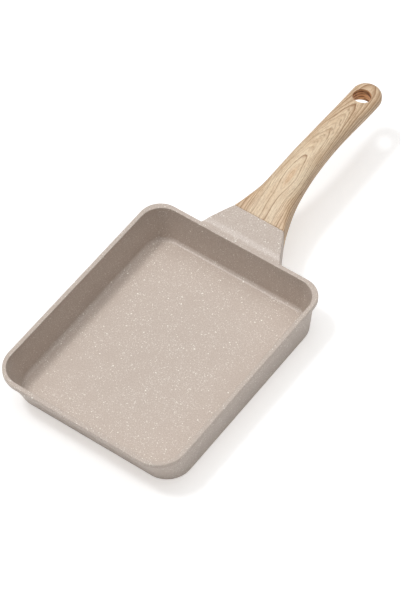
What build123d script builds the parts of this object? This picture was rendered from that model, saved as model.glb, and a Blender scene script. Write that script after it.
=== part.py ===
"""Rectangular rolled-omelette pan with a fixed wood-look handle.

The pan stands on z = 0 with its origin under the middle of the rim, and the handle leaves along +Y.
"""
import os
from math import atan2, cos, degrees, sin

from build123d import *

os.makedirs("parts", exist_ok=True)

# Rim, seen from above: the outermost edge of the pan
rim_length = 190.8
rim_width = 148.0
rim_height = 36.0
rim_back_corner = 17.0
rim_front_corner = 21.9

# Lip: the thicker band round the top of the wall
lip_overhang = 1.3
lip_depth = 3.6
lip_outer_round = 0.8
lip_inner_round = 0.6
lip_under_round = 0.5

# Walls and floor of the casting
wall = 2.1
side_draft = 2.9
back_draft = 1.3
front_draft = 13.3
wall_back_corner = 18.5
wall_front_corner = 19.0
cavity_corner_cut = 2.1
floor_thickness = 4.0
floor_edge_round = 3.3
base_edge_round = 2.6

# Induction plate let into the underside
plate_length = 138.0
plate_width = 110.0
plate_corner = 12.0
plate_thickness = 0.8
plate_edge_clearance = 0.15
plate_hole = 5.0
plate_hole_pitch = 13.0
plate_hole_margin = 9.0
plate_peg_clearance = 0.1

# Neck between the rim and the handle, part of the casting
neck_length = 22.8
neck_root_width = 66.8
neck_step_length = 6.6
neck_step_height = 2.6
neck_root_bottom = 12.5
neck_root_corner = 1.0
neck_wall_bite = 1.6

# Handle, measured from the joint with the neck
joint_width = 42.6
joint_thickness = 20.2
joint_height = 30.4
joint_corner = 1.4
handle_length = 146.5
grip_width = 21.5
handle_end_thickness = 13.2
handle_rise = 16.0
joint_edge_break = 0.5
hang_hole = 13.5
hang_hole_margin = 10.4

# Tongue of the casting inside the handle
tongue_length = 32.0
tongue_root_width = 25.0
tongue_tip_width = 18.6
tongue_thickness = 6.6
tongue_corner = 1.5
tongue_lift = 2.4
tongue_rise = 9.6
socket_clearance = 0.3
socket_end_clearance = 3.0

# Handle screw and its washers
screw_reach = 20.0
screw_shank = 5.0
screw_tip_chamfer = 0.6
screw_tip_inset = 0.5
screw_head = 9.0
screw_head_height = 3.2
screw_head_round = 1.1
recess_span = 5.0
recess_slot = 1.1
recess_depth = 1.9
thread_clearance = 0.1
shank_clearance = 0.35
flat_washer_outer = 10.0
flat_washer_thickness = 1.0
spring_washer_outer = 8.8
spring_washer_thickness = 1.2
spring_washer_gap = 0.9
washer_bore_clearance = 0.15
seat_floor = 2.2
counterbore_clearance = 0.6

# One overrun serves every through cut
overrun = 2.0

# Stations along the handle, each a share of: its length, the extra width at the joint, the rise,
# the extra thickness at the joint, and the way from the joint's corners to a fully rounded section
handle_station_shares = (
    (0.0, 1.0, 0.0, 1.0, 0.0),
    (0.085, 0.68, 0.32, 1.0, 0.42),
    (0.175, 0.39, 0.54, 0.96, 0.9),
    (0.28, 0.2, 0.785, 0.88, 1.0),
    (0.42, 0.07, 0.97, 0.78, 1.0),
    (0.56, 0.0, 1.0, 0.66, 1.0),
    (0.7, 0.01, 0.94, 0.47, 1.0),
    (0.83, 0.06, 0.85, 0.12, 1.0),
)
end_width_share = 0.07
end_rise_share = 0.82
full_corner_share = 0.46

# Places worked out from the sizes above
rim_back = rim_length / 2
joint_y = rim_back + neck_length
handle_tip = joint_y + handle_length
end_width = grip_width + end_width_share * (joint_width - grip_width)
end_centre_y = handle_tip - end_width / 2
end_centre_z = joint_height + end_rise_share * handle_rise
hang_hole_y = handle_tip - hang_hole_margin - hang_hole / 2
tongue_slope = atan2(tongue_rise, tongue_length)
outer_foot_share = 1 - floor_thickness / rim_height


def pan_outline(height, extra_inset, draft_share, back_corner, front_corner):
    """Rounded rectangle at a height, drawn in from the rim by an inset and a share of each wall's draft."""
    side = extra_inset + side_draft * draft_share
    front = extra_inset + front_draft * draft_share
    back = extra_inset + back_draft * draft_share
    outline = Rectangle(rim_width - 2 * side, rim_length - front - back)
    outline = fillet(outline.vertices().group_by(Axis.Y)[-1], back_corner)
    outline = fillet(outline.vertices().group_by(Axis.Y)[0], front_corner)
    return Pos(0, (front - back) / 2, height) * outline


def upright_section(y, z, width, thickness, corner):
    """Rounded rectangle standing across the handle's line, centred at y and z."""
    plane = Plane(origin=(0, y, z), x_dir=(1, 0, 0), z_dir=(0, 1, 0))
    return plane * RectangleRounded(width, thickness, corner)


def handle_section(length_share, width_share, rise_share, thickness_share, round_share):
    """Section of the handle at one station."""
    width = grip_width + width_share * (joint_width - grip_width)
    thickness = handle_end_thickness + thickness_share * (joint_thickness - handle_end_thickness)
    corner = joint_corner + round_share * (full_corner_share * thickness - joint_corner)
    y = joint_y + length_share * handle_length
    return upright_section(y, joint_height + rise_share * handle_rise, width, thickness, corner)


def tongue_shape(margin, end_margin):
    """Tapered bar that rises with the handle, grown by a margin for the socket that takes it."""
    root = upright_section(
        joint_y,
        joint_height + tongue_lift,
        tongue_root_width + 2 * margin,
        tongue_thickness + 2 * margin,
        tongue_corner,
    )
    reach = 1 + end_margin / tongue_length
    tip = upright_section(
        joint_y + tongue_length * reach,
        joint_height + tongue_lift + tongue_rise * reach,
        tongue_root_width - (tongue_root_width - tongue_tip_width) * reach + 2 * margin,
        tongue_thickness + 2 * margin,
        tongue_corner,
    )
    return loft([root, tip], ruled=True)


# The screw stands square to the tongue, and its plane's z points up through the handle
screw_plane = Plane(
    origin=(
        0,
        joint_y + screw_reach,
        joint_height + tongue_lift + tongue_rise * screw_reach / tongue_length,
    ),
    x_dir=(1, 0, 0),
    z_dir=(0, -sin(tongue_slope), cos(tongue_slope)),
)
tongue_half = tongue_thickness * cos(tongue_slope) / 2
seat_level = -(tongue_half + socket_clearance + seat_floor)
flat_washer_level = seat_level - flat_washer_thickness
head_level = flat_washer_level - spring_washer_thickness
screw_tip_level = tongue_half - screw_tip_inset


def upright_cylinder(radius, bottom, top):
    """Cylinder on the screw's axis between two levels of the screw's plane."""
    return screw_plane * Pos(0, 0, bottom) * extrude(Circle(radius), top - bottom)


def peg_places():
    """Grid of the plate's holes, centred on the plate."""
    columns = int((plate_width - 2 * plate_hole_margin) // plate_hole_pitch) + 1
    rows = int((plate_length - 2 * plate_hole_margin) // plate_hole_pitch) + 1
    return GridLocations(plate_hole_pitch, plate_hole_pitch, columns, rows)


plate_centre = Pos(0, (front_draft - back_draft) / 2, 0)


def make_outside():
    """Tapered outside of the pan with the lip round its top, still solid."""
    foot = pan_outline(0, lip_overhang, 1, wall_back_corner, wall_front_corner)
    top = pan_outline(rim_height, lip_overhang, 0, wall_back_corner, wall_front_corner)
    block = loft([foot, top], ruled=True)
    block = fillet(block.edges().group_by(Axis.Z)[0], base_edge_round)
    lip = extrude(pan_outline(rim_height - lip_depth, 0, 0, rim_back_corner, rim_front_corner), lip_depth)
    lip = fillet(lip.edges().group_by(Axis.Z)[-1], lip_outer_round)
    lip = fillet(lip.edges().group_by(Axis.Z)[0], lip_under_round)
    return block + lip


def make_shell():
    """Floor, walls and lip, hollowed out, with the lip's inner edge rounded."""
    shell = make_outside() - make_cavity()
    rim_face = shell.faces().sort_by(Axis.Z)[-1]
    return fillet(rim_face.inner_wires()[0].edges(), lip_inner_round)


def make_neck():
    """Neck that starts level with the rim, steps up behind it and narrows to the joint."""
    root_top = rim_height - lip_inner_round
    joint_top = joint_height + joint_thickness / 2
    joint_bottom = joint_height - joint_thickness / 2
    bite = lip_overhang + neck_wall_bite
    step_share = neck_step_length / neck_length
    stations = (
        (-bite, -bite / neck_length, root_top, 0),
        (0, 0, root_top, 0),
        (neck_step_length, step_share, root_top + neck_step_height, step_share),
        (neck_length, 1, joint_top, 1),
    )
    sections = []
    for reach, share, top, corner_share in stations:
        bottom = neck_root_bottom + (joint_bottom - neck_root_bottom) * share
        width = neck_root_width + (joint_width - neck_root_width) * share
        corner = neck_root_corner + (joint_corner - neck_root_corner) * corner_share
        sections.append(upright_section(rim_back + reach, (top + bottom) / 2, width, top - bottom, corner))
    neck = loft(sections, ruled=True)
    return fillet(neck.edges().group_by(Axis.Y)[-1], joint_edge_break)


def make_cavity():
    """Space inside the pan, from the floor to the open top."""
    inner = lip_overhang + wall
    floor = pan_outline(
        floor_thickness,
        inner,
        outer_foot_share,
        wall_back_corner - cavity_corner_cut,
        wall_front_corner - cavity_corner_cut,
    )
    top = pan_outline(
        rim_height,
        inner,
        0,
        wall_back_corner - cavity_corner_cut,
        wall_front_corner - cavity_corner_cut,
    )
    cavity = loft([floor, top], ruled=True)
    return fillet(cavity.edges().group_by(Axis.Z)[0], floor_edge_round)


def make_pan_body():
    """Casting: shell, neck and tongue, less the plate's pocket and the screw's thread."""
    body = make_shell() + make_neck() + tongue_shape(0, 0)
    pocket = RectangleRounded(
        plate_width + 2 * plate_edge_clearance,
        plate_length + 2 * plate_edge_clearance,
        plate_corner + plate_edge_clearance,
    )
    pocket = plate_centre * extrude(pocket, plate_thickness)
    peg = extrude(Circle(plate_hole / 2 - plate_peg_clearance), plate_thickness)
    pocket -= [plate_centre * place * peg for place in peg_places()]
    body -= pocket
    return body - upright_cylinder(
        screw_shank / 2 + thread_clearance, -tongue_half - overrun, tongue_half + overrun
    )


def make_induction_plate():
    """Thin plate with a grid of holes that the casting's pegs fill."""
    plate = extrude(RectangleRounded(plate_width, plate_length, plate_corner), plate_thickness)
    hole = extrude(Circle(plate_hole / 2), plate_thickness)
    return plate_centre * (plate - [place * hole for place in peg_places()])


def make_handle():
    """Moulding lofted along its stations, with a half-round free end, a socket and a screw seat."""
    sections = [handle_section(*shares) for shares in handle_station_shares]
    end_corner = full_corner_share * handle_end_thickness
    sections.append(
        upright_section(end_centre_y, end_centre_z, end_width, handle_end_thickness, end_corner)
    )
    grip = loft(sections)
    grip = fillet(grip.edges().group_by(Axis.Y)[0], joint_edge_break)
    end_plane = Plane(origin=(0, end_centre_y, end_centre_z), x_dir=(1, 0, 0), z_dir=(0, -1, 0))
    half = RectangleRounded(end_width, handle_end_thickness, end_corner)
    half &= Pos(end_width / 4, 0) * Rectangle(end_width / 2, handle_end_thickness)
    cap_axis = Axis((0, end_centre_y, 0), (0, 0, 1))
    grip += revolve(end_plane * half, cap_axis, 180)
    hole = Pos(0, hang_hole_y, 0) * extrude(Circle(hang_hole / 2), end_centre_z + handle_end_thickness)
    grip -= hole
    grip -= tongue_shape(socket_clearance, socket_end_clearance)
    grip -= upright_cylinder(
        flat_washer_outer / 2 + counterbore_clearance, seat_level - joint_thickness, seat_level
    )
    return grip - upright_cylinder(screw_shank / 2 + shank_clearance, seat_level - overrun, 0)


def make_handle_screw():
    """Pan-head machine screw with a cross recess, head downwards."""
    head = extrude(Circle(screw_head / 2), screw_head_height)
    head = fillet(head.edges().group_by(Axis.Z)[0], screw_head_round)
    for turn in (0, 90):
        slot = extrude(Rectangle(recess_span, recess_slot), recess_depth)
        head -= Rot(0, 0, turn) * slot
    shank = extrude(Circle(screw_shank / 2), screw_tip_level - head_level)
    shank = chamfer(shank.edges().group_by(Axis.Z)[-1], screw_tip_chamfer)
    screw = head + Pos(0, 0, screw_head_height) * shank
    return screw_plane * Pos(0, 0, head_level - screw_head_height) * screw


def make_washer(outer, thickness, level):
    """Plain ring whose top face lies at a level of the screw's plane."""
    ring = Circle(outer / 2) - Circle(screw_shank / 2 + washer_bore_clearance)
    return Pos(0, 0, level - thickness) * extrude(ring, thickness)


def make_flat_washer():
    """Flat washer against the seat in the handle."""
    return screw_plane * make_washer(flat_washer_outer, flat_washer_thickness, seat_level)


def make_spring_washer():
    """Split washer under the screw's head, its slanted gap cut through one side."""
    ring = make_washer(spring_washer_outer, spring_washer_thickness, flat_washer_level)
    gap = Box(spring_washer_outer, spring_washer_gap, 2 * overrun + spring_washer_thickness)
    slant = degrees(atan2(spring_washer_gap, spring_washer_thickness))
    middle = flat_washer_level - spring_washer_thickness / 2
    gap = Pos(spring_washer_outer / 2, 0, middle) * Rot(slant / 2, 0, 0) * gap
    return screw_plane * (ring - gap)


def save(name, shape):
    """Writes one piece under its own name."""
    shape.label = name
    export_step(shape, f"parts/{name}.step")
    print(name, "volume", round(shape.volume / 1000, 2), "cm3")


save("pan_body", make_pan_body())
save("induction_plate", make_induction_plate())
save("handle", make_handle())
save("handle_screw", make_handle_screw())
save("flat_washer", make_flat_washer())
save("spring_washer", make_spring_washer())
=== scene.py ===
# %% [markdown]
# # A rolled-omelette pan with a wood-look handle
#
# The pan is a shallow rectangular casting with a speckled stone-look coating. A short neck, cast in
# one with the walls, carries a moulded handle printed to look like ash wood. This lesson works both
# surfaces out with numpy, joins and drills them with exact booleans, and grows the speckles and the
# wood grain from shader maths alone.

# %% Load the frame
from math import atan2, cos, radians, sin, tau

import bmesh
import bpy
import numpy as np
from mathutils import Matrix, Vector


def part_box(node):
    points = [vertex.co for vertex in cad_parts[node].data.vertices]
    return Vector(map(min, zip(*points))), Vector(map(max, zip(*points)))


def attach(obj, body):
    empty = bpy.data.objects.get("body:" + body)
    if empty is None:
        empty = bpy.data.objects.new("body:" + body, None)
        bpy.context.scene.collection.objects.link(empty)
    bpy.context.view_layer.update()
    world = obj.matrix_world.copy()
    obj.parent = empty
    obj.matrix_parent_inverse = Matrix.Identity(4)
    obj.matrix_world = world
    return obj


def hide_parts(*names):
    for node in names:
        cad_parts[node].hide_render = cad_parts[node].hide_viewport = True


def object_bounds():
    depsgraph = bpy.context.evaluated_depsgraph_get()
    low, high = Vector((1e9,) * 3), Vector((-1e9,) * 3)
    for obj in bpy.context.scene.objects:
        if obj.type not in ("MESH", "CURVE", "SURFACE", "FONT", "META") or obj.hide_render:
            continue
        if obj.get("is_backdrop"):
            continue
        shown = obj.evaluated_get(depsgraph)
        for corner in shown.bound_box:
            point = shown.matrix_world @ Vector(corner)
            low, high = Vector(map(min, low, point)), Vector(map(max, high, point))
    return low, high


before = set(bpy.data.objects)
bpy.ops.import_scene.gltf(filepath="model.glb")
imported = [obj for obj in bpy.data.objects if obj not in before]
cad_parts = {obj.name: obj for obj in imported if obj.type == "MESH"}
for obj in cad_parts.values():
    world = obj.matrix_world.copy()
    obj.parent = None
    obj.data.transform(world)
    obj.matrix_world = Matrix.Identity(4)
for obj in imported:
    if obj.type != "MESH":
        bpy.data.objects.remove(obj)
cad_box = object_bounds()
print("nodes:", sorted(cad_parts))

# %% [markdown]
# ## The camera
#
# The pan is seen from above and to the right of its front edge through a long lens, which keeps
# parallel edges nearly parallel. So the camera stands two metres away and looks at the pan through
# a narrow angle.

# %% Place the camera
mm = 0.001

camera_azimuth = radians(36.346)
camera_elevation = radians(52.036)
camera_roll = radians(-0.916)
camera_distance = 2084.3 * mm
camera_right = 27.293 * mm
camera_up = 42.938 * mm
lens_length = 180.09
view_depth = 20.0


def camera_axes(azimuth, elevation, roll):
    """Right, up and backward unit vectors of a camera that looks down at the pan from an azimuth."""
    back = Vector((sin(azimuth) * cos(elevation), -cos(azimuth) * cos(elevation), sin(elevation)))
    level = Vector((cos(azimuth), sin(azimuth), 0.0))
    upright = back.cross(level)
    right = level * cos(roll) + upright * sin(roll)
    return right, upright * cos(roll) - level * sin(roll), back


right_axis, up_axis, back_axis = camera_axes(camera_azimuth, camera_elevation, camera_roll)
camera_place = back_axis * camera_distance + right_axis * camera_right + up_axis * camera_up
camera_turn = Matrix((right_axis, up_axis, back_axis)).transposed().to_4x4()
camera_data = bpy.data.cameras.new("camera")
camera_data.lens = lens_length
camera_data.clip_end = view_depth
camera = bpy.data.objects.new("camera", camera_data)
camera.matrix_world = Matrix.Translation(camera_place) @ camera_turn
bpy.context.scene.collection.objects.link(camera)
bpy.context.scene.camera = camera
bpy.context.scene.view_settings.view_transform = "Standard"
print("camera at", [round(value, 3) for value in camera_place])

# %% [markdown]
# ## Shader maths
#
# A material is a graph of nodes, which is long and hard to follow when it is written out by hand. A
# small class wraps one output socket, so that ordinary sums add the Math nodes. One method makes
# every other kind of node from its settings and the values or wires of its sockets.


# %% Wrap a socket
class Wire:
    """One output socket in a node tree; sums with it add Math nodes."""

    def __init__(self, tree, socket=None):
        self.tree = tree
        self.socket = socket

    def node(self, kind, settings=None, inputs=None, output=0):
        """Adds a node, applies its settings, fills its sockets and returns one of its outputs."""
        made = self.tree.nodes.new(kind)
        for name, value in (settings or {}).items():
            if name == "stops":
                set_stops(made.color_ramp, value)
            else:
                setattr(made, name, value)
        for name, value in (inputs or {}).items():
            if isinstance(value, Wire):
                self.tree.links.new(value.socket, made.inputs[name])
            else:
                made.inputs[name].default_value = value
        return Wire(self.tree, made.outputs[output])

    def output(self, name):
        """Another output of the node that this wire leaves."""
        return Wire(self.tree, self.socket.node.outputs[name])

    def math(self, operation, *values):
        """Math node on this wire and further values."""
        return self.node("ShaderNodeMath", {"operation": operation}, dict(enumerate((self, *values))))

    def __add__(self, other):
        return self.math("ADD", other)

    __radd__ = __add__

    def __mul__(self, other):
        return self.math("MULTIPLY", other)

    __rmul__ = __mul__

    def __sub__(self, other):
        return self.math("SUBTRACT", other)

    def __rsub__(self, other):
        return self * -1.0 + other

    def __pow__(self, other):
        return self.math("POWER", other)

    def ramped(self, start, end):
        """0 before start, 1 after end, and a smooth rise between; start may lie above end."""
        wired = {"Value": self, "From Min": start, "From Max": end}
        return self.node("ShaderNodeMapRange", {"interpolation_type": "SMOOTHSTEP"}, wired)


def set_stops(ramp, stops):
    """Gives a colour ramp its stops, each a place and a grey level."""
    while len(ramp.elements) < len(stops):
        ramp.elements.new(1.0)
    for element, (place, level) in zip(ramp.elements, stops):
        element.position = place
        element.color = (level, level, level, 1.0)


def blend(factor, first, second):
    """Mix of two colours, each a wire or three numbers; the factor is a wire."""
    first, second = ((*c, 1.0) if isinstance(c, tuple) else c for c in (first, second))
    return factor.node("ShaderNodeMix", {"data_type": "RGBA"}, {0: factor, 6: first, 7: second}, 2)


def noise(vector, size, detail=2.0, stretch=1.0):
    """Smooth noise about one half with features of a size in metres, drawn out along Y."""
    scale = (1.0 / size, 1.0 / (size * stretch), 1.0 / size)
    place = vector.node("ShaderNodeVectorMath", {"operation": "MULTIPLY"}, {0: vector, 1: scale})
    return vector.node("ShaderNodeTexNoise", None, {"Vector": place, "Scale": 1.0, "Detail": detail})


def new_material(name, constants):
    """Empty material with constants set on its shader; returns it, a starting wire and the shader."""
    material = bpy.data.materials.new(name)
    material.use_nodes = True
    shader = material.node_tree.nodes["Principled BSDF"]
    for socket, value in constants.items():
        shader.inputs[socket].default_value = value
    return material, Wire(material.node_tree), shader


def plug(shader, wires):
    """Links wires to the shader's sockets by name."""
    for name, wire in wires.items():
        wire.tree.links.new(wire.socket, shader.inputs[name])


def bumped(height, distance, strength):
    """Normal tilted by a height wire whose full step is a distance in metres."""
    sockets = {"Height": height, "Distance": distance, "Strength": strength}
    return height.node("ShaderNodeBump", None, sockets)


helpers = (blend, noise, new_material, plug, bumped)
print("shader helpers:", ", ".join(helper.__name__ for helper in helpers))

# %% [markdown]
# Colours are written here as a screen shows them, in reds, greens and blues of 255. A renderer adds
# up light, so each of them is first turned into its share of light.

# %% Turn screen colours into light
full_level = 255.0
curve_start = 0.04045
start_slope = 12.92
curve_lift = 0.055
curve_power = 2.4


def tint(red, green, blue):
    """Linear colour that shows on a screen as the given reds, greens and blues of 255. A screen's
    curve is a straight line for the darkest levels and a lifted power above them."""
    shares = np.array([red, green, blue]) / full_level
    curved = ((shares + curve_lift) / (1 + curve_lift)) ** curve_power
    return tuple(np.where(shares <= curve_start, shares / start_slope, curved).tolist())


mid_level = 128
print("a grey of", mid_level, "is", round(tint(mid_level, mid_level, mid_level)[0], 3), "in light")

# %% [markdown]
# ## The sweep and the light
#
# The pan stands on a white sweep. In a product photograph such a sweep is lit from below as well, so
# part of what the camera sees of the floor here is a glow, and the shadows stay light. The glow is a
# little warm and the paper a little cool, so the deepest shade, where only the glow is left, takes
# the warm tone of light that comes off the pan. Together they are brighter than white, which hides
# the faint outer parts of the shadows as an overexposed picture does. Every other ray meets plain
# white paper with a faint glow. Most of the light comes from a dome that is brightest overhead, so
# the inner walls are lit mainly by the pan's own floor, and a sun from the front left places the
# shadows.

# %% Lay the floor
floor_half = 3.0
floor_drop = 0.05 * mm
paper_white = (0.94, 0.94, 0.94)
paper_seen = (0.62, 0.652, 0.678)
glow_colour = (1.0, 0.943, 0.895, 1.0)
paper_glow = 0.536
paper_lift = 0.08


def make_floor():
    """Square sheet just under the pan."""
    signs = ((-1, -1), (1, -1), (1, 1), (-1, 1))
    corners = [(x * floor_half, y * floor_half, -floor_drop) for x, y in signs]
    mesh = bpy.data.meshes.new("floor")
    mesh.from_pydata(corners, [], [(0, 1, 2, 3)])
    floor = bpy.data.objects.new("floor", mesh)
    bpy.context.scene.collection.objects.link(floor)
    paper = {"Roughness": 1.0, "Specular IOR Level": 0.0, "Emission Color": glow_colour}
    material, start, shader = new_material("paper", paper)
    camera_ray = start.node("ShaderNodeLightPath")
    colour = blend(camera_ray, paper_white, paper_seen)
    glow = camera_ray * (paper_glow - paper_lift) + paper_lift
    plug(shader, {"Base Color": colour, "Emission Strength": glow})
    mesh.materials.append(material)
    floor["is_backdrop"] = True


make_floor()
print("floor:", 2 * floor_half, "metres across")

# %% Hang the lights
sun_from = Vector((-0.318, -0.2, 0.93)).normalized()
sun_strength = 1.0
sun_softness = radians(10.0)
dome_base = 0.06
dome_overhead = 2.3
dome_power = 5.2


def make_dome():
    """Sky that is white to the camera; its light grows with a power of the height above the
    horizon, and so does what the coating and the steel reflect of it."""
    world = bpy.data.worlds.new("studio")
    world.use_nodes = True
    start = Wire(world.node_tree)
    direction = start.node("ShaderNodeTexCoord")
    height = direction.node("ShaderNodeSeparateXYZ", None, {0: direction}).output("Z")
    strength = height.math("MAXIMUM", 0.0) ** dome_power * dome_overhead + dome_base
    camera_ray = start.node("ShaderNodeLightPath")
    background = world.node_tree.nodes["Background"]
    background.inputs["Color"].default_value = (1.0, 1.0, 1.0, 1.0)
    plug(background, {"Strength": strength * (1.0 - camera_ray) + camera_ray})
    bpy.context.scene.world = world


def make_sun():
    """Soft sun to the front left, high up."""
    data = bpy.data.lights.new("key", "SUN")
    data.energy = sun_strength
    data.angle = sun_softness
    sun = bpy.data.objects.new("key", data)
    sun.matrix_world = sun_from.to_track_quat("Z", "Y").to_matrix().to_4x4()
    bpy.context.scene.collection.objects.link(sun)


make_dome()
make_sun()
dome_light = dome_base + dome_overhead * 2 / (dome_power + 2)
floor_light = dome_light + sun_strength * sun_from.z * 2 / tau
print("light on the floor, in whites:", round(floor_light, 3))

# %% [markdown]
# ## Surfaces from arrays
#
# Every new piece is a grid of points. One direction runs round a loop and the other along a profile
# or a path, and the whole grid is worked out at once. A grid whose first and last rows shrink to a
# point closes itself once equal points are merged.

# %% Turn grids into meshes
merge_distance = 0.002 * mm
sharp_angle = radians(32)


def grid_faces(rows, columns):
    """Quads between neighbouring rows, where each row closes on its first column."""
    row, column = np.meshgrid(np.arange(rows - 1), np.arange(columns), indexing="ij")
    here = row * columns + column
    after = row * columns + (column + 1) % columns
    return np.stack([here, after, after + columns, here + columns], -1).reshape(-1, 4)


def tidy(mesh):
    """Merges equal points, turns every shell outwards and smooths all but the sharp edges."""
    work = bmesh.new()
    work.from_mesh(mesh)
    bmesh.ops.remove_doubles(work, verts=work.verts, dist=merge_distance)
    bmesh.ops.dissolve_degenerate(work, edges=work.edges, dist=merge_distance)
    bmesh.ops.recalc_face_normals(work, faces=work.faces)
    work.to_mesh(mesh)
    work.free()
    mesh.shade_smooth()
    mesh.set_sharp_from_angle(angle=sharp_angle)


def piece_from(name, grids):
    """Object made of closed grids in millimetres."""
    sizes = [grid.shape[0] * grid.shape[1] for grid in grids]
    firsts = np.cumsum([0, *sizes])
    faces = np.concatenate([grid_faces(*grid.shape[:2]) + first for grid, first in zip(grids, firsts)])
    points = np.concatenate([grid.reshape(-1, 3) for grid in grids]) * mm
    mesh = bpy.data.meshes.new(name)
    mesh.from_pydata(points.tolist(), [], faces.tolist())
    tidy(mesh)
    made = bpy.data.objects.new(name, mesh)
    bpy.context.scene.collection.objects.link(made)
    return made


def work_on(piece, tool, operation):
    """Exact boolean of a piece with a tool, applied to the piece; the tool is used up."""
    step = piece.modifiers.new(operation.lower(), "BOOLEAN")
    step.operation = operation
    step.solver = "EXACT"
    step.object = tool
    seen = piece.evaluated_get(bpy.context.evaluated_depsgraph_get())
    mesh = bpy.data.meshes.new_from_object(seen)
    piece.modifiers.clear()
    piece.data = mesh
    bpy.data.objects.remove(tool)
    tidy(mesh)


def drawn_in(loop, centre, shares):
    """Copies of a loop drawn in to shares of its size about a centre, for a flat and its pole."""
    return np.array(centre) + (loop - np.array(centre)) * np.array(shares)[:, None, None]


def finish_piece(piece, node, material):
    """Puts a finished piece in its node's place, with flats that stay flat in the shading."""
    piece.data.materials.clear()
    piece.data.materials.append(material)
    piece.modifiers.new("flats", "WEIGHTED_NORMAL").keep_sharp = True
    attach(piece, "root")
    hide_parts(node)
    print(piece.name, "has", len(piece.data.vertices), "points")


# %% [markdown]
# ## The casting
#
# Going round the pan, its section is always the same: floor, floor fillet, inner wall, lip, outer
# wall and foot. Only the draft differs. The sides and the back are steep, and the front wall slopes
# so that the finished roll slides out over it. The section is drawn once as a path of straight runs
# with rounded corners, and each of its points becomes a rounded rectangle round the pan.

# %% Name the casting's sizes
body_low, body_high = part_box("pan_body")
plate_low, plate_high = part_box("induction_plate")

rim_half_width = body_high.x / mm
rim_half_length = -body_low.y / mm
rim_height = 36.0
rim_corners = (17.0, 21.9)
wall_corners = (18.5, 19.0)
cavity_corners = (16.4, 16.9)
side_draft = 2.9
back_draft = 1.3
front_draft = 13.3
lip_overhang = 1.3
lip_depth = 3.6
wall = 2.1
floor_thickness = 4.0
section_rounds = (3.3, 0.6, 0.8, 0.5, 0.4, 2.6)
floor_border = 12.0
foot_border = 10.0
print("rim", round(2 * rim_half_width, 1), "by", round(2 * rim_half_length, 1), "mm")

# %% Draw the section
arc_steps = 12


def rounded_path(points, rounds):
    """Path through points whose inner corners are arcs. An arc starts its radius times the tangent of
    half the turn before the corner, and each of its points is the corner plus a length along both
    runs, so any further columns of the points follow the arc as the same mix."""
    points = np.array(points)
    path = [points[:1]]
    for before, corner, after, radius in zip(points, points[1:], points[2:], rounds):
        back_run = before - corner
        next_run = after - corner
        back_length = np.hypot(*back_run[:2])
        next_length = np.hypot(*next_run[:2])
        turned = np.arccos(-back_run[:2] @ next_run[:2] / (back_length * next_length))
        angle = np.linspace(0.0, turned, arc_steps)
        rise = radius * (1 - np.cos(angle)) / np.sin(turned)
        back_way = radius * (np.tan(turned / 2) - np.sin(angle)) + rise * np.cos(turned)
        mix = np.stack([back_way / back_length, rise / next_length], 1)
        path.append(corner + mix @ np.stack([back_run, next_run]))
    return np.concatenate([*path, points[-1:]])


def wall_section(draft):
    """Section of a wall with its draft: rows of inset from the rim, height, and the plan radii of the
    back and front corners."""
    inner = lip_overhang + wall
    floor_edge = inner + draft * (1 - floor_thickness / rim_height)
    under_lip = lip_overhang + draft * lip_depth / rim_height
    foot = lip_overhang + draft
    cavity = np.array(cavity_corners)
    outside = np.array(wall_corners)
    points = [
        (floor_edge + floor_border, floor_thickness, *(cavity - floor_border)),
        (floor_edge, floor_thickness, *cavity),
        (inner, rim_height, *cavity),
        (0, rim_height, *rim_corners),
        (0, rim_height - lip_depth, *rim_corners),
        (under_lip, rim_height - lip_depth, *outside),
        (foot, 0, *outside),
        (foot + foot_border, 0, *(outside - foot_border)),
    ]
    return rounded_path(points, section_rounds)


side_section = wall_section(side_draft)
front_section = wall_section(front_draft)
back_section = wall_section(back_draft)
print("points in the section:", len(side_section))

# %% [markdown]
# A loop has four quarter circles and the straight runs between them. Where a side meets the front,
# their sections differ a little in height along the fillets, so the height eases from one to the
# other round the corner.

# %% Carry it round the rim
corner_steps = 18
straight_steps = 12


def rounded_loops(insets, heights, corners):
    """Rounded rectangles about the pan's middle, one for each row. Insets and heights have columns for
    side, front and back, and corners for the back and front radii."""
    side, front, back = insets.T
    side_height, front_height, back_height = heights.T
    back_corner, front_corner = corners.T
    quarters = (
        (1, 1, back, back_corner, side_height, back_height),
        (-1, 1, back, back_corner, back_height, side_height),
        (-1, -1, front, front_corner, side_height, front_height),
        (1, -1, front, front_corner, front_height, side_height),
    )
    turn = np.linspace(0.0, tau / 4, corner_steps)
    ease = (1 - np.cos(2 * turn)) / 2
    arcs = []
    for count, (x_sign, y_sign, end, radius, first, last) in enumerate(quarters):
        angle = turn + count * tau / 4
        x = x_sign * (rim_half_width - side - radius)[:, None] + radius[:, None] * np.cos(angle)
        y = y_sign * (rim_half_length - end - radius)[:, None] + radius[:, None] * np.sin(angle)
        z = first[:, None] * (1 - ease) + last[:, None] * ease
        arcs.append(np.stack([x, y, z], -1))
    share = np.arange(1, straight_steps)[:, None] / straight_steps
    loops = []
    for arc, following in zip(arcs, arcs[1:] + arcs[:1]):
        loops += [arc, arc[:, -1:] * (1 - share) + following[:, :1] * share]
    return np.concatenate(loops, axis=1)


plate_gap = 0.15
plate_corner = 12.0
floor_shares = (0, 0.4, 0.8)
ceiling_shares = (0.6, 0)
plate_depth = plate_high.z / mm
plate_middle = (plate_low.y + plate_high.y) / 2 / mm


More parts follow.
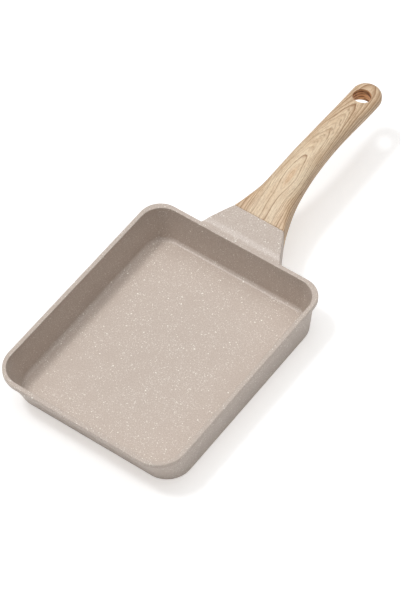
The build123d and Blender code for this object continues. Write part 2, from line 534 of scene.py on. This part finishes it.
def casting_grid():
    """Closed surface of the casting without its neck, from the middle of the floor over the lip to the
    middle of the plate's pocket."""
    sections = np.stack([side_section, front_section, back_section])
    loops = rounded_loops(sections[:, :, 0].T, sections[:, :, 1].T, side_section[:, 2:])
    floor_middle = (0, loops[0, :, 1].mean(), floor_thickness)
    pocket_inset = (
        rim_half_width - plate_high.x / mm - plate_gap,
        rim_half_length + plate_low.y / mm - plate_gap,
        rim_half_length - plate_high.y / mm - plate_gap,
    )
    pocket = rounded_loops(
        np.array([pocket_inset, pocket_inset]),
        np.array([[0.0] * 3, [plate_depth] * 3]),
        np.full((2, 2), plate_corner + plate_gap),
    )
    inner_floor = drawn_in(loops[0], floor_middle, floor_shares)
    ceiling = drawn_in(pocket[1], (0, plate_middle, plate_depth), ceiling_shares)
    return np.concatenate([inner_floor, loops, pocket, ceiling])


pan = piece_from("pan_casting", [casting_grid()])
print("casting:", len(pan.data.vertices), "points")

# %% [markdown]
# ## Bars with a changing section
#
# The neck, the tongue inside the handle and the handle itself are bars. Their sections are rounded
# rectangles at one end, and the handle's turn into full, nearly oval ones that suit the hand. Few
# stations give the width, thickness and height, and a smooth curve through them gives the rest.

# %% Make a bar
side_steps = 5
top_steps = 12
round_steps = 8
end_steps = 5


def smooth_through(places, values, at):
    """Cubic through the values, where each slope is that of the neighbouring chords."""
    places = np.array(places)
    values = np.array(values)
    slopes = np.gradient(values, places, axis=0)
    index = np.clip(np.searchsorted(places, at) - 1, 0, len(places) - 2)
    span = places[index + 1] - places[index]
    t = ((at - places[index]) / span)[:, None]
    span = span[:, None]
    start = (1 + 2 * t) * (1 - t) ** 2 * values[index] + t * (1 - t) ** 2 * span * slopes[index]
    end = t**2 * (3 - 2 * t) * values[index + 1] - t**2 * (1 - t) * span * slopes[index + 1]
    return start + end


def bar_loops(y, middle, half_width, half_height, corner, fullness=0.0, power=2.0):
    """Sections across a bar, one for each y, in the plane of x and z. A rounded rectangle is drawn
    first. Fullness moves each of its points along its ray towards the superellipse of the same width
    and height, where the powers of a point's shares of the two half sizes add up to one."""
    values = (y, middle, half_width, half_height, corner, fullness)
    y, middle, half_width, half_height, corner, fullness = np.broadcast_arrays(
        *(np.atleast_1d(value).astype(float) for value in values)
    )
    turn = np.linspace(0.0, tau / 4, round_steps)
    arcs = []
    for count, (x_sign, z_sign) in enumerate(((1, 1), (-1, 1), (-1, -1), (1, -1))):
        angle = turn + count * tau / 4
        x = x_sign * (half_width - corner)[:, None] + corner[:, None] * np.cos(angle)
        z = z_sign * (half_height - corner)[:, None] + corner[:, None] * np.sin(angle)
        arcs.append(np.stack([x, z], -1))
    loops = []
    for count, (arc, following) in enumerate(zip(arcs, arcs[1:] + arcs[:1])):
        steps = side_steps if count % 2 else top_steps
        share = np.arange(1, steps)[:, None] / steps
        loops += [arc, arc[:, -1:] * (1 - share) + following[:, :1] * share]
    flat = np.concatenate(loops, axis=1)
    halves = np.stack([half_width, half_height], -1)[:, None]
    reach = (np.abs(flat / halves) ** power).sum(-1, keepdims=True) ** (-1 / power)
    flat = flat * (1 + (reach - 1) * fullness[:, None, None])
    along = np.broadcast_to(y[:, None], flat.shape[:2])
    return np.stack([flat[..., 0], along, flat[..., 1] + middle[:, None]], -1)


def end_round(radius):
    """Quarter round at a bar's end: how far its rows lie from the end, and how far they draw in."""
    angle = np.linspace(0.0, tau / 4, end_steps)
    return radius * (1 - np.sin(angle)), radius * (1 - np.cos(angle))


section_points = 4 * round_steps + 2 * (top_steps - 1) + 2 * (side_steps - 1)
print("points round a bar:", section_points)

# %% [markdown]
# ## The neck and its tongue
#
# The neck leaves the rim level with the lip, rises a little behind it and narrows in straight lines
# to the joint. A tongue goes on from there inside the handle, and the handle's screw pulls on it.
# They are one closed bar, and a boolean joins it to the casting together with the small pegs that
# fill the holes of the steel plate underneath.

# %% Name the neck's sizes
handle_low, handle_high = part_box("handle")

joint_y = handle_low.y / mm
joint_height = 30.4
joint_half_width = 21.3
joint_half_thickness = 10.1
joint_corner = 1.2
joint_edge = 0.5
neck_length = joint_y - rim_half_length
neck_half_width = 33.4
neck_sunk = 0.05
neck_top = rim_height - neck_sunk
neck_bottom = 12.5
neck_corner = 0.9
neck_flare = 0.3

# Stations along the neck: shares of its length, of its rise and of the flare at the wall
neck_station_shares = (
    (-0.12, 0.0, 1.6),
    (0.0, 0.0, 1.0),
    (0.06, 0.06, 0.5),
    (0.13, 0.2, 0.18),
    (0.2, 0.36, 0.04),
    (0.27, 0.46, 0.0),
    (0.44, 0.62, 0.0),
    (0.72, 0.83, 0.0),
    (1.0, 1.0, 0.0),
)
neck_rows = 40

tongue_half_widths = (12.5, 9.3)
tongue_half_thickness = 3.3
tongue_corner = 1.5
tongue_length = 32.0
tongue_lift = 2.4
tongue_rise = 9.6
print("neck:", round(neck_length, 1), "mm long, with a tongue of", tongue_length, "mm")


# %% Shape the neck
def tongue_loops(margin, before, beyond):
    """First and last section of the tongue, grown by a margin and lengthened at both ends."""
    reach = np.array([-before, tongue_length + beyond])
    share = reach / tongue_length
    near, far = tongue_half_widths
    half_width = near + (far - near) * share + margin
    middle = joint_height + tongue_lift + tongue_rise * share
    return bar_loops(joint_y + reach, middle, half_width, tongue_half_thickness + margin, tongue_corner)


def neck_grid():
    """Closed surface of the neck with the tongue at its end."""
    share, rise, flare = np.array(neck_station_shares).T
    at = np.linspace(share[0], 1.0, neck_rows)
    rise, flare = smooth_through(share, np.stack([rise, flare], 1), at).T
    far_back, inwards = end_round(joint_edge)
    at = np.concatenate([at[:-1], 1.0 - far_back / neck_length])
    rise = np.concatenate([rise[:-1], np.ones_like(inwards)])
    flare = np.concatenate([flare[:-1], np.zeros_like(inwards)])
    inset = np.concatenate([np.zeros(neck_rows - 1), inwards])
    half_width = neck_half_width + (joint_half_width - neck_half_width) * at + neck_flare * flare
    top = neck_top + (joint_height + joint_half_thickness - neck_top) * rise
    bottom = neck_bottom + (joint_height - joint_half_thickness - neck_bottom) * at - neck_flare * flare
    corner = neck_corner + (joint_corner - neck_corner) * at
    loops = bar_loops(
        rim_half_length + neck_length * at,
        (top + bottom) / 2,
        half_width - inset,
        (top - bottom) / 2 - inset,
        corner - inset,
    )
    tongue = tongue_loops(0.0, 0.0, 0.0)
    start = drawn_in(loops[0], loops[0].mean(axis=0), (0, 1 / 2))
    end = drawn_in(tongue[1], tongue[1].mean(axis=0), (0,))
    return np.concatenate([start, loops, tongue, end])


neck = neck_grid()
print("neck and tongue:", len(neck), "sections")

# %% Make the pegs and join all three
peg_radius = 2.4
peg_pitch = 13.0
peg_margin = 9.0
peg_sides = 20
peg_sunk = 0.4


def turned(profile, sides):
    """Surface of revolution about Z of a profile of radii and heights that starts and ends at zero
    radius."""
    radius, height = np.array(profile, float).T
    angle = np.arange(sides) * tau / sides
    x = radius[:, None] * np.cos(angle)
    y = radius[:, None] * np.sin(angle)
    return np.stack([x, y, np.broadcast_to(height[:, None], x.shape)], -1)


def peg_grids():
    """One short peg at every hole of the plate, on a square grid about the plate's middle."""
    top = plate_depth + peg_sunk
    peg = turned([(0, 0), (peg_radius, 0), (peg_radius, top), (0, top)], peg_sides)
    columns = int((2 * plate_high.x / mm - 2 * peg_margin) // peg_pitch) + 1
    rows = int(((plate_high.y - plate_low.y) / mm - 2 * peg_margin) // peg_pitch) + 1
    across = (np.arange(columns) - (columns - 1) / 2) * peg_pitch
    along = (np.arange(rows) - (rows - 1) / 2) * peg_pitch + plate_middle
    return [peg + (x, y, 0) for x in across for y in along]


pegs = peg_grids()
work_on(pan, piece_from("neck_and_pegs", [neck, *pegs]), "UNION")
print("pegs:", len(pegs))

# %% [markdown]
# ## The handle
#
# The moulding starts as wide and square as the neck's end, draws in to the grip within a few
# centimetres, arches upwards and ends in a blunt round tip. At the tip the section is folded round a
# point, the way a page turns: its halves swing towards each other until they meet in the middle
# plane, which closes the end without a seam.

# %% Shape the handle
handle_tip = handle_high.y / mm
handle_length = handle_tip - joint_y
grip_half_width = 10.75
end_half_thickness = 6.6
handle_rise = 16.0
full_corner_share = 0.46

# Stations along the handle: shares of its length, of the extra width at the joint, of the rise, of
# the extra thickness at the joint, and of the way to the full section
handle_station_shares = (
    (0.0, 1.0, 0.0, 1.0, 0.0),
    (0.085, 0.68, 0.32, 1.0, 0.42),
    (0.175, 0.39, 0.54, 0.96, 0.95),
    (0.28, 0.2, 0.785, 0.88, 1.0),
    (0.42, 0.07, 0.97, 0.78, 1.0),
    (0.56, 0.0, 1.0, 0.66, 1.0),
    (0.7, 0.01, 0.94, 0.47, 1.0),
    (0.83, 0.06, 0.85, 0.12, 1.0),
    (0.92, 0.07, 0.82, 0.0, 1.0),
    (1.0, 0.07, 0.82, 0.0, 1.0),
)
end_width_share = 0.07
end_half_width = grip_half_width + end_width_share * (joint_half_width - grip_half_width)
end_middle_y = handle_tip - end_half_width
section_power = 2.7
tip_power = 2.05
front_shares = (0, 0.6)
handle_rows = 90
tip_rows = 18


def handle_sizes(y):
    """Half width, middle height, half thickness and fullness of the handle at places along it."""
    stations = np.array(handle_station_shares)
    shares = smooth_through(stations[:, 0], stations[:, 1:], (y - joint_y) / handle_length)
    width, rise, thickness, full = shares.T
    return (
        grip_half_width + width * (joint_half_width - grip_half_width),
        joint_height + rise * handle_rise,
        end_half_thickness + thickness * (joint_half_thickness - end_half_thickness),
        np.clip(full, 0, 1),
    )


def handle_grid():
    """Closed surface of the handle before it is drilled."""
    far_back, inwards = end_round(joint_edge)
    body_y = np.linspace(joint_y + 2 * joint_edge, end_middle_y, handle_rows)
    y = np.concatenate([joint_y + far_back[::-1], body_y])
    inset = np.concatenate([inwards[::-1], np.zeros(handle_rows)])
    half_width, middle, half_thickness, full = handle_sizes(y)
    corner = joint_corner + full * (2 * full_corner_share * half_thickness - joint_corner)
    halves = (half_width - inset, half_thickness - inset)
    loops = bar_loops(y, middle, *halves, corner - inset, full, section_power)
    turn = np.linspace(0.0, tau / 4, tip_rows)[1:, None]
    last = loops[-1]
    x = last[:, 0] * np.cos(turn) ** (2 / tip_power)
    forward = np.abs(last[:, 0]) * np.sin(turn) ** (2 / tip_power)
    tip = np.stack([x, end_middle_y + forward, np.broadcast_to(last[:, 2], x.shape)], -1)
    start = drawn_in(loops[0], loops[0].mean(axis=0), front_shares)
    return np.concatenate([start, loops, tip])


handle = piece_from("handle_grip", [handle_grid()])
print("handle:", len(handle.data.vertices), "points, length", round(handle_length, 1), "mm")

# %% [markdown]
# ## Drilling the handle
#
# A moulded hole has soft rims. The tool that cuts it is a spool: straight in the middle and flared
# at both ends, and its ends follow the handle's curved skin so that the rims are even all round. The
# lower rim is the softer one, because a hook comes in from below when the pan is hung up.
# Two plainer tools cut the socket for the tongue and the stepped seat of the screw.

# %% Drill the hanging hole
hole_radius = 6.75
hole_margin = 10.4
hole_y = handle_tip - hole_margin - hole_radius
flare_turn = radians(68)
flare_reach = 3.0
flare_steps = 9
spool_sides = 72
spool_beyond = 6.0

# Radii of the lower and the upper rim
rim_rounds = (2.2, 0.5)


def skin_height(x, y, side):
    """Height of the handle's upper (1) or lower (-1) skin near its end."""
    half_width, middle, half_thickness, _ = handle_sizes(y)
    out = np.hypot(x, np.maximum(0, y - end_middle_y)) / half_width
    return middle + side * half_thickness * (1 - out**section_power) ** (1 / section_power)


def spool_grid():
    """Closed spool: arcs that lean out from the hole's wall, then cones that leave the skin."""
    around = np.arange(spool_sides) * tau / spool_sides
    angle = np.linspace(0.0, flare_turn, flare_steps)
    halves = []
    for side, rim_round in zip((-1, 1), rim_rounds):
        out = rim_round * (1 - np.cos(angle))
        up = rim_round * (np.sin(angle) - 1)
        out = np.append(out, out[-1] + flare_reach * sin(flare_turn)) + hole_radius
        up = np.append(up, up[-1] + flare_reach * cos(flare_turn))
        edge = hole_radius + rim_round
        level = skin_height(edge * np.cos(around), hole_y + edge * np.sin(around), side)
        x = out[:, None] * np.cos(around)
        y = out[:, None] * np.sin(around) + hole_y
        half = np.stack([x, y, level + side * up[:, None]], -1)
        cap = half[-1:] + (0, 0, side * spool_beyond)
        halves.append(np.concatenate([half, cap, drawn_in(cap[0], cap[0].mean(axis=0), (0,))]))
    return np.concatenate([halves[0][::-1], halves[1]])


work_on(handle, piece_from("spool", [spool_grid()]), "DIFFERENCE")
print("hole", 2 * hole_radius, "mm wide at y =", round(hole_y, 1))

# %% Cut the socket and the screw's seat
socket_gap = 0.3
socket_end = 3.0
socket_overrun = 1.0
screw_reach = 20.0
seat_floor = 2.2
seat_radius = 5.6
shank_hole = 2.85
seat_sides = 48


def socket_grid():
    """Tongue grown by its clearance, open through the handle's front face."""
    loops = tongue_loops(socket_gap, socket_overrun, socket_end)
    ends = [drawn_in(loop, loop.mean(axis=0), (0,)) for loop in loops]
    return np.concatenate([ends[0], loops, ends[1]])


def seat_grid():
    """Stepped round hole, square to the tongue, that the screw goes up through."""
    slope = atan2(tongue_rise, tongue_length)
    seat = -(tongue_half_thickness * cos(slope) + socket_gap + seat_floor)
    low = seat - 2 * joint_half_thickness
    wide = [(0, low), (seat_radius, low), (seat_radius, seat)]
    narrow = [(shank_hole, seat), (shank_hole, 0), (0, 0)]
    x, y, z = np.moveaxis(turned(wide + narrow, seat_sides), -1, 0)
    tilted = np.stack([x, y * cos(slope) - z * sin(slope), y * sin(slope) + z * cos(slope)], -1)
    share = screw_reach / tongue_length
    return tilted + (0, joint_y + screw_reach, joint_height + tongue_lift + tongue_rise * share)


work_on(handle, piece_from("socket", [socket_grid()]), "DIFFERENCE")
work_on(handle, piece_from("seat", [seat_grid()]), "DIFFERENCE")
print("handle after drilling:", len(handle.data.vertices), "points")

# %% [markdown]
# ## The stone-look coating
#
# The coating is a warm taupe with pale mineral specks of four sizes, down to a fine dust. A Voronoi
# texture scatters one random point to each cell of space, and a speck is the small ball round that
# point. The surface slices only the balls that it happens to meet, so the cells are small for the
# number of specks that show, and the specks differ in width. A slow noise changes how many cells
# have one, so the specks gather in loose clusters as sprayed paint does.

# %% Mix the coating
coating_base = tint(207, 194, 184)
coating_shade = tint(192, 177, 165)
speck_bright = tint(253, 249, 241)
speck_soft = tint(236, 228, 218)

# Size of a cell, radius of a speck, share of the cells that have one, how much it shows, and its colour
speck_layers = (
    (3.4 * mm, 0.5 * mm, 0.15, 0.95, speck_bright),
    (2.1 * mm, 0.36 * mm, 0.42, 0.85, speck_bright),
    (1.25 * mm, 0.27 * mm, 1.0, 0.7, speck_bright),
    (0.72 * mm, 0.18 * mm, 1.0, 0.5, speck_soft),
)
speck_edge = 0.1 * mm

# Size of a cluster, the levels between which its noise rises, and a speck's least radius and spread
# as shares of its layer's radius
cluster_size = 11 * mm
cluster_range = (0.25, 0.75)
least_speck = 0.7
speck_spread = 0.4


def specks(place, cell, radius, share):
    """1 inside the specks and 0 outside, for cells of a size that hold specks of about a radius. The
    cluster noise is one half on average, so it is doubled to keep the share."""
    dots = place.node("ShaderNodeTexVoronoi", None, {"Vector": place, "Scale": 1.0 / cell})
    lot = dots.node("ShaderNodeSeparateColor", None, {0: dots.output("Color")})
    chosen = lot.math("LESS_THAN", noise(place, cluster_size).ramped(*cluster_range) * share * 2.0)
    size = lot.output("Green") * speck_spread * radius + least_speck * radius
    return (size - dots * cell).ramped(-speck_edge, speck_edge) * chosen


print("kinds of speck:", len(speck_layers))

# %% Lay it on the casting
satin_level = 0.25
mottle_size = 0.8 * mm
mottle_range = (0.3, 0.7)
peel_size = 0.9 * mm
peel_detail = 3.0
peel_share = 0.35
speck_raise = 0.25
coating_bump = 0.03 * mm
coating_bump_strength = 0.5
gloss_size = 3 * mm
gloss_swing = 0.1
coating_roughness = 0.27


def stone_coating():
    """Taupe coating with pale specks, a fine orange-peel skin and a satin gloss."""
    material, start, shader = new_material("stone_coating", {"Specular IOR Level": satin_level})
    place = start.node("ShaderNodeTexCoord", output="Object")
    colour = blend(noise(place, mottle_size).ramped(*mottle_range), coating_shade, coating_base)
    raised = noise(place, peel_size, peel_detail) * peel_share
    for cell, radius, share, show, speck_colour in speck_layers:
        inside = specks(place, cell, radius, share)
        colour = blend(inside * show, colour, speck_colour)
        raised = raised + inside * speck_raise
    rough = noise(place, gloss_size, peel_detail) * gloss_swing + coating_roughness
    normal = bumped(raised, coating_bump, coating_bump_strength)
    plug(shader, {"Base Color": colour, "Roughness": rough, "Normal": normal})
    return material


finish_piece(pan, "pan_body", stone_coating())

# %% [markdown]
# ## The wood look
#
# The print copies a plain-sawn ash board. A board cut near the pith shows nested arches, because the
# saw meets each yearly ring twice and the rings dive below the face along the board. Here the pith
# touches the face in an eye, a quarter of the way from the joint, and the arches open from there
# towards the tip. A distance from the pith line is worked out from how far a point is across the
# board and how deep the pith lies there, and each ring darkens slowly and then ends at once.


# %% Store where the grain runs
def store_grain_place(piece):
    """Vector attribute on the points: across and along in metres, and depth below the crown line."""
    mesh = piece.data
    points = np.empty(len(mesh.vertices) * 3)
    mesh.vertices.foreach_get("co", points)
    points = points.reshape(-1, 3)
    y = np.clip(points[:, 1] / mm, joint_y, end_middle_y)
    _, middle, half_thickness, _ = handle_sizes(y)
    depth = (middle + half_thickness) * mm - points[:, 2]
    values = np.stack([points[:, 0], points[:, 1], depth], 1)
    grain_place = mesh.attributes.new("grain_place", "FLOAT_VECTOR", "POINT")
    grain_place.data.foreach_set("vector", values.ravel())
    return depth


grain_depth = store_grain_place(handle)
print("deepest point below the crown:", round(grain_depth.max() / mm, 1), "mm")

# %% Grow the rings
per_mm = 1 / mm
eye_x = 1.2
eye_y = 156.5
tip_dive = 0.59
dive_power = 0.73
joint_dive = 3.9
joint_dive_reach = 20.0
arch_power = 1.6
ring_reach = 34.0
ring_edge = 0.3

# Rings: distance from the pith in millimetres and how dark the ring ends
rings = (
    (1.5, 0.75),
    (3.0, 0.75),
    (4.9, 1.0),
    (6.6, 0.8),
    (8.4, 0.75),
    (10.1, 0.95),
    (11.1, 0.85),
    (12.8, 0.8),
    (14.6, 1.0),
    (16.4, 0.85),
    (18.6, 0.95),
    (21.2, 0.85),
    (24.0, 0.95),
    (27.5, 0.85),
    (31.5, 0.9),
)


def pith_distance(grain, warp):
    """Distance from the pith line in millimetres. The pith's depth grows from the eye towards the tip
    and a little towards the joint, and a power below two makes the arches pointed."""
    across = (grain.output("X") * per_mm - eye_x).math("ABSOLUTE") + grain.output("Z") * per_mm + warp
    along = grain.output("Y") * per_mm - eye_y
    towards_tip = along.math("MAXIMUM", 0.0) ** dive_power * tip_dive
    deep = towards_tip + along.ramped(0.0, -joint_dive_reach) * joint_dive
    return (across.math("MAXIMUM", 0.0) ** arch_power + deep**arch_power) ** (1 / arch_power)


def ring_shade(ring):
    """Darkness that rises over each ring and falls off at its end."""
    stops = [(0.0, 0.0)]
    for distance, dark in rings:
        stops += [(distance / ring_reach, dark), ((distance + ring_edge) / ring_reach, 0.0)]
    return ring.node("ShaderNodeValToRGB", {"stops": stops}, {0: ring * (1 / ring_reach)})


print("rings:", len(rings))

# %% [markdown]
# A printed ring is not one even line. A slow and a quick noise push it about, and another fades it
# along its way. Raised to a power, a ring's shade leaves only its dark end, which is the line. The
# power is smaller far from the pith, so the lines are broader at the flanks.

# %% Wave and fade the rings
# Each noise: size across the grain, detail, and how many times longer it is along the grain
sway_noise = (8 * mm, 1.0, 4.0)
tremor_noise = (1.5 * mm, 2.0, 6.0)
fading_noise = (4 * mm, 1.0, 6.0)
sway = 4.2
tremor = 0.9
fading_range = (0.3, 0.62)
least_line = 0.76
narrow_power = 4.5
broad_drop = 2.6
broad_range = (9.0, 18.0)


def waves(place):
    """Millimetres that a slow and a quick noise push the rings aside."""
    slow = (noise(place, *sway_noise) - 0.5) * sway
    quick = (noise(place, *tremor_noise) - 0.5) * tremor
    return slow + quick


def ring_lines(place, ring, shade):
    """Lines at the rings' ends: their shade to a power, times a fading that never goes below a least
    share."""
    fading = noise(place, *fading_noise).ramped(*fading_range) * (1 - least_line) + least_line
    return shade ** (narrow_power - ring.ramped(*broad_range) * broad_drop) * fading


print("the rings sway by up to", round((sway + tremor) / 2, 2), "mm")

# %% [markdown]
# Thinner lines run beside the rings at an even pitch, faint in the eye and clearer further out. They
# wander and break off, because unbroken ones would look ruled.

# %% Draw the thinner lines
wander_noise = (4 * mm, 1.0, 8.0)
broken_noise = (2.5 * mm, 1.0, 10.0)
broken_range = (0.35, 0.6)
wander = 3.0
thin_half_pitch = 0.75
thin_line_range = (0.3, 0.05)
thin_range = (5.0, 9.0)
thin_show = 0.4
least_thin_show = 0.06


def thin_lines(place, ring):
    """The pith distance, pushed about by a noise, runs to and fro between zero and half the pitch. A
    line shows where it comes near zero, and a second noise breaks it off."""
    to_and_fro = (ring + noise(place, *wander_noise) * wander).math("PINGPONG", thin_half_pitch)
    broken = to_and_fro.ramped(*thin_line_range) * noise(place, *broken_noise).ramped(*broken_range)
    return broken * (ring.ramped(*thin_range) * thin_show + least_thin_show)


print("thinner lines:", 2 * thin_half_pitch, "mm apart")

# %% [markdown]
# Between the lines the wood has two pale tones, and it is warmer in the eye and where a ring
# darkens. It is warmer and darker at the flanks too, which is painted shade of the handle's sides.
# Fibres and pores are fine noises, drawn out along the board many times over.

# %% Tint the wood between the lines
fibre_noise = (0.35 * mm, 3.0, 14.0)
pore_noise = (0.3 * mm, 1.0, 8.0)
tone_noise = (5 * mm, 2.0, 4.0)
fibre_range = (0.7, 0.3)
pore_range = (0.56, 0.66)
tone_range = (0.35, 0.65)
# Painted shade: the handle's flanks are tinted warmer and darker, as its sides lie in shade.
flank_shade_range = (8.0, 20.0)
eye_range = (3.2, 1.0)
flank_shade_warmth = 0.5
eye_warmth = 0.7
ring_warmth = 0.3
fibre_show = 0.2
pore_show = 0.26
wood_light = tint(245, 227, 198)
wood_pale = tint(232, 209, 178)
wood_warm_and_shade = tint(230, 198, 162)
wood_line = tint(138, 92, 56)


def wood_ground(place, ring, shade, fibre, pores):
    """Colour of the wood between its lines: two pale tones, a warm one that also paints the shade at
    the flanks, and a little of the lines' colour in fibres and pores."""
    colour = blend(noise(place, *tone_noise).ramped(*tone_range), wood_light, wood_pale)
    # The warm tone at the flanks is painted shade; in the eye and at the rings it is the print's own.
    warmth_and_shade = ring.ramped(*flank_shade_range) * flank_shade_warmth + ring.ramped(*eye_range) * eye_warmth
    warmth_and_shade = warmth_and_shade + shade * ring_warmth
    colour = blend(warmth_and_shade.math("MINIMUM", 1.0), colour, wood_warm_and_shade)
    return blend(fibre.ramped(*fibre_range) * fibre_show + pores * pore_show, colour, wood_line)


print("palest tone of the wood, in light:", [round(part, 2) for part in wood_light])

# %% [markdown]
# The print ends where the hanging hole cuts through it, and the wall of the hole shows the layered
# moulding, darkened with painted shade of the hole. Its layers lie level, so their noise is drawn
# out both across and along the handle.

# %% Show the moulding in the hole, with painted shade
bore_noise = (1.3 * mm, 1.0)
bore_range = (0.4, 0.6)
layer_scale = (0.15, 0.15, 1.0)
print_edge = 0.35
bore_edge = 0.05
# Painted shade: both colours of the hole's wall are darkened for the shade inside the hole.
bore_light_shaded = tint(226, 174, 122)
bore_dark_shaded = tint(142, 96, 58)


def shaded_bore_wall(place, grain, colour):
    """The wood's colour, replaced within the hole's radius by the layered moulding with painted shade.
    """
    offset = {0: grain.output("X") * per_mm, 1: grain.output("Y") * per_mm - hole_y}
    away = place.node("ShaderNodeCombineXYZ", None, offset)
    away = away.node("ShaderNodeVectorMath", {"operation": "LENGTH"}, {0: away}, "Value")
    layers = place.node("ShaderNodeVectorMath", {"operation": "MULTIPLY"}, {0: place, 1: layer_scale})
    bore_and_shade = blend(noise(layers, *bore_noise).ramped(*bore_range), bore_light_shaded, bore_dark_shaded)
    return blend(away.ramped(hole_radius + print_edge, hole_radius + bore_edge), colour, bore_and_shade)


print("the print ends", print_edge, "mm from the hole's wall")

# %% [markdown]
# The finished print is satin. Its fibres stand up a little and its pores and lines lie a little
# lower, so a low light still finds some grain.

# %% Print the wood
wood_roughness = 0.42
fibre_roughness = 0.12
fibre_height = 0.5
pore_height = 0.4
line_height = 0.2
wood_bump = 0.03 * mm
wood_bump_strength = 0.4


def wood_look():
    """Satin ash print: rings, thinner lines that follow them, pores and fine fibres along the handle,
    and the moulding, darkened with painted shade, where the hanging hole cuts through the print."""
    material, start, shader = new_material("wood_look", {"Specular IOR Level": satin_level})
    place = start.node("ShaderNodeAttribute", {"attribute_name": "grain_place"}, output="Vector")
    grain = place.node("ShaderNodeSeparateXYZ", None, {0: place})
    ring = pith_distance(grain, waves(place))
    shade = ring_shade(ring)
    line = ring_lines(place, ring, shade)
    fibre = noise(place, *fibre_noise)
    pores = noise(place, *pore_noise).ramped(*pore_range)
    colour = wood_ground(place, ring, shade, fibre, pores)
    colour = blend(line.math("MAXIMUM", thin_lines(place, ring)), colour, wood_line)
    colour = shaded_bore_wall(place, grain, colour)
    rough = fibre * fibre_roughness + wood_roughness
    height = fibre * fibre_height - pores * pore_height - line * line_height
    normal = bumped(height, wood_bump, wood_bump_strength)
    plug(shader, {"Base Color": colour, "Roughness": rough, "Normal": normal})
    return material


finish_piece(handle, "handle", wood_look())

# %% [markdown]
# ## The steel pieces
#
# The plate under the floor, the screw and its washers keep their CAD shapes and only need a finish.
# The plate was faced on a lathe, so its fine marks are circles about its middle. The screw and the
# washers are small bright steel with faint marks that run every way.

# %% Finish the steel
cloud_size = 6 * mm
cloud_detail = 3.0
mark_size = 0.25 * mm
mark_detail = 4.0
dull_share = 0.78
mark_show = 0.5
cloud_show = 0.3
mark_roughness = 0.16
cloud_roughness = 0.1
mark_bump = 0.01 * mm
mark_bump_strength = 0.4


def brushed_steel(name, colour, roughness, centre=None):
    """Steel with fine marks: circles about a centre, or small scratches where there is none."""
    material, start, shader = new_material(name, {"Metallic": 1.0})
    place = start.node("ShaderNodeTexCoord", output="Object")
    cloud = noise(place, cloud_size, cloud_detail)
    if centre:
        moved = place.node("ShaderNodeVectorMath", {"operation": "SUBTRACT"}, {0: place, 1: centre})
        away = moved.node("ShaderNodeVectorMath", {"operation": "LENGTH"}, {0: moved}, "Value")
        place = away.node("ShaderNodeCombineXYZ", None, {0: away})
    marks = noise(place, mark_size, mark_detail)
    dull = tuple(dull_share * part for part in colour)
    shown = blend(marks * mark_show + cloud * cloud_show, dull, colour)
    rough = marks * mark_roughness + cloud * cloud_roughness + roughness
    normal = bumped(marks, mark_bump, mark_bump_strength)
    plug(shader, {"Base Color": shown, "Roughness": rough, "Normal": normal})
    return material


def dress(node, material):
    """Gives a CAD node its material."""
    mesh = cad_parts[node].data
    mesh.materials.clear()
    mesh.materials.append(material)


plate_centre = (0.0, plate_middle * mm, 0.0)
plate_colour = tint(206, 204, 200)
plate_roughness = 0.26
screw_colour = tint(214, 212, 208)
screw_roughness = 0.2
turned_steel = brushed_steel("turned_steel", plate_colour, plate_roughness, plate_centre)
bright_steel = brushed_steel("bright_steel", screw_colour, screw_roughness)
dress("induction_plate", turned_steel)
fasteners = ("handle_screw", "flat_washer", "spring_washer")
for fastener in fasteners:
    dress(fastener, bright_steel)
print("steel pieces:", 1 + len(fasteners))

# %% Compare the boxes
shown_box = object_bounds()
boxes = {"cad": cad_box, "shown": shown_box}
gaps = [abs(a - b) / mm for cad, shown in zip(*boxes.values()) for a, b in zip(cad, shown)]
print("largest difference of the boxes:", round(max(gaps), 2), "mm")
